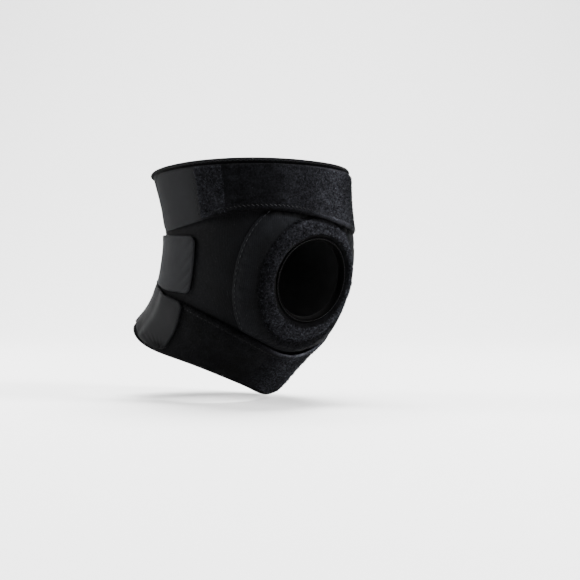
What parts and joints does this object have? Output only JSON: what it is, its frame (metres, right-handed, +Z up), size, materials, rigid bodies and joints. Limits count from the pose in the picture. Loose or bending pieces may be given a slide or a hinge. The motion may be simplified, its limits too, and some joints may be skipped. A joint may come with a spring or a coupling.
{
  "type": "knee support",
  "caption": "Open-patella knee support in neoprene, shaped as worn on a bent knee, with a padded kneecap opening and wrap-round straps with hook closing tabs.",
  "frame": {"origin": "the middle of the knee, inside the support, at the height of the kneecap opening, where the leg holds the support", "axes": "+Z runs up through the support as the picture shows it, the kneecap faces -Y, and +X is the inner side of a right leg"},
  "size_m": [0.1425, 0.2016, 0.1743],
  "materials": {
    "neoprene": "smooth knit over neoprene foam",
    "edge_tape": "ribbed binding tape",
    "loop_pile": "brushed loop pile",
    "hook_tab": "smooth closing tab"
  },
  "bodies": {
    "root": {"neoprene_wrap": "neoprene", "top_binding": "edge_tape", "bottom_binding": "edge_tape", "kneecap_pad": "neoprene", "kneecap_ring": "loop_pile", "opening_binding": "edge_tape", "upper_strap": "loop_pile", "upper_tab": "hook_tab", "middle_strap": "loop_pile", "middle_tab": "hook_tab", "lower_strap": "loop_pile", "lower_tab": "hook_tab"}
  },
  "joints": []
}
